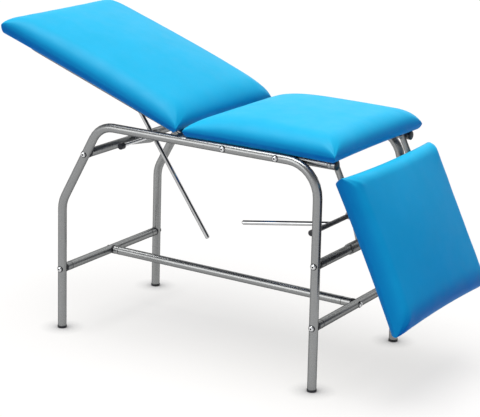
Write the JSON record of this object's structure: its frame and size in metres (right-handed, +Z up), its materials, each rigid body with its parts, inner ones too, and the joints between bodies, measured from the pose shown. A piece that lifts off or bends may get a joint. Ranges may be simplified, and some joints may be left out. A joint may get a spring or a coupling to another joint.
{
  "type": "examination table",
  "caption": "Three-section examination table on a bent-tube frame, with a seat, a tilting backrest on a clamped prop and a hanging leg rest raised by a lever",
  "frame": {"origin": "On the floor, below the middle of the table's overall box at rest", "axes": "+X along the table to the foot end, +Y across to the far side, +Z up"},
  "size_m": [1.5645, 0.6126, 1.0601],
  "materials": {
    "frame_paint": "smooth silver-grey paint with a soft metallic sheen",
    "dark_paint": "dark grey satin paint",
    "chrome": "polished chrome",
    "zinc": "bright zinc plate",
    "black_plastic": "matte black moulded plastic",
    "blue_vinyl": "smooth sky-blue upholstery vinyl with a soft sheen",
    "board_paint": "plywood painted dark grey"
  },
  "bodies": {
    "frame": {"side_frame_near": "frame_paint", "side_frame_far": "frame_paint", "foot_cup_rear_near": "black_plastic", "foot_cup_rear_far": "black_plastic", "foot_cup_front_near": "black_plastic", "foot_cup_front_far": "black_plastic", "head_lower_crossbar": "frame_paint", "head_upper_crossbar": "frame_paint", "foot_lower_crossbar": "frame_paint", "foot_middle_crossbar": "frame_paint", "head_lower_saddle_near": "black_plastic", "head_lower_saddle_far": "black_plastic", "head_upper_saddle_near": "black_plastic", "head_upper_saddle_far": "black_plastic", "foot_lower_saddle_near": "black_plastic", "foot_lower_saddle_far": "black_plastic", "foot_middle_saddle_near": "black_plastic", "foot_middle_saddle_far": "black_plastic", "head_lower_bolt_near": "zinc", "head_lower_bolt_far": "zinc", "head_upper_bolt_near": "zinc", "head_upper_bolt_far": "zinc", "foot_lower_bolt_near": "zinc", "foot_lower_bolt_far": "zinc", "foot_middle_bolt_near": "zinc", "foot_middle_bolt_far": "zinc", "stretcher": "frame_paint", "stretcher_saddle_head": "black_plastic", "stretcher_saddle_foot": "black_plastic", "seat_tube_near": "frame_paint", "seat_tube_far": "frame_paint", "seat_tube_cap_near": "black_plastic", "seat_tube_cap_far": "black_plastic", "rail_bolt_near_1": "zinc", "rail_bolt_near_2": "zinc", "rail_bolt_far_1": "zinc", "rail_bolt_far_2": "zinc", "back_hinge_pin_near": "zinc", "back_hinge_pin_far": "zinc", "leg_hinge_bolt_near": "zinc", "leg_hinge_bolt_far": "zinc", "seat_board": "board_paint", "seat_cushion": "blue_vinyl", "clamp_bracket": "frame_paint", "lever_bracket": "frame_paint"},
    "backrest": {"backrest_frame": "frame_paint", "backrest_board": "board_paint", "backrest_cushion": "blue_vinyl"},
    "prop": {"prop_rod": "chrome", "clamp_barrel": "zinc"},
    "clamp_screw": {"clamp_spindle": "zinc", "clamp_knob": "black_plastic"},
    "leg_rest": {"leg_rest_frame": "frame_paint", "leg_rest_board": "board_paint", "leg_rest_cushion": "blue_vinyl"},
    "lever": {"lever_shaft": "dark_paint", "lever_shaft_cap_near": "black_plastic", "lever_shaft_cap_far": "black_plastic", "lever_handle": "chrome"},
    "link": {"push_link": "zinc"}
  },
  "joints": [
    {"name": "backrest_tilt", "type": "hinge", "parent": "frame", "child": "backrest", "pos_m": [-0.0655, 0, 0.74], "axis": [0, 1, 0], "range_deg": [-19, 31]},
    {"name": "prop_swing", "type": "hinge", "parent": "frame", "child": "prop", "pos_m": [-0.358, 0, 0.655], "axis": [0, 1, 0], "range_deg": [-38, 62]},
    {"name": "clamp_turn", "type": "hinge", "parent": "prop", "child": "clamp_screw", "pos_m": [-0.358, 0, 0.655], "axis": [0, 1, 0], "range_deg": [0, 180]},
    {"name": "leg_rest_tilt", "type": "hinge", "parent": "frame", "child": "leg_rest", "pos_m": [0.48, 0, 0.74], "axis": [0, -1, 0], "range_deg": [0, 63.6]},
    {"name": "lever_turn", "type": "hinge", "parent": "frame", "child": "lever", "pos_m": [0.424, 0, 0.512], "axis": [0, -1, 0], "range_deg": [0, 63.6]},
    {"name": "link_turn", "type": "hinge", "parent": "lever", "child": "link", "pos_m": [0.43721, 0, 0.44041], "axis": [0, -1, 0], "range_deg": [-63.6, 0]}
  ],
  "couplings": [
    {"joint": "prop_swing", "follows": "backrest_tilt", "ratio": 2},
    {"joint": "lever_turn", "follows": "leg_rest_tilt", "ratio": 1},
    {"joint": "link_turn", "follows": "leg_rest_tilt", "ratio": -1}
  ]
}
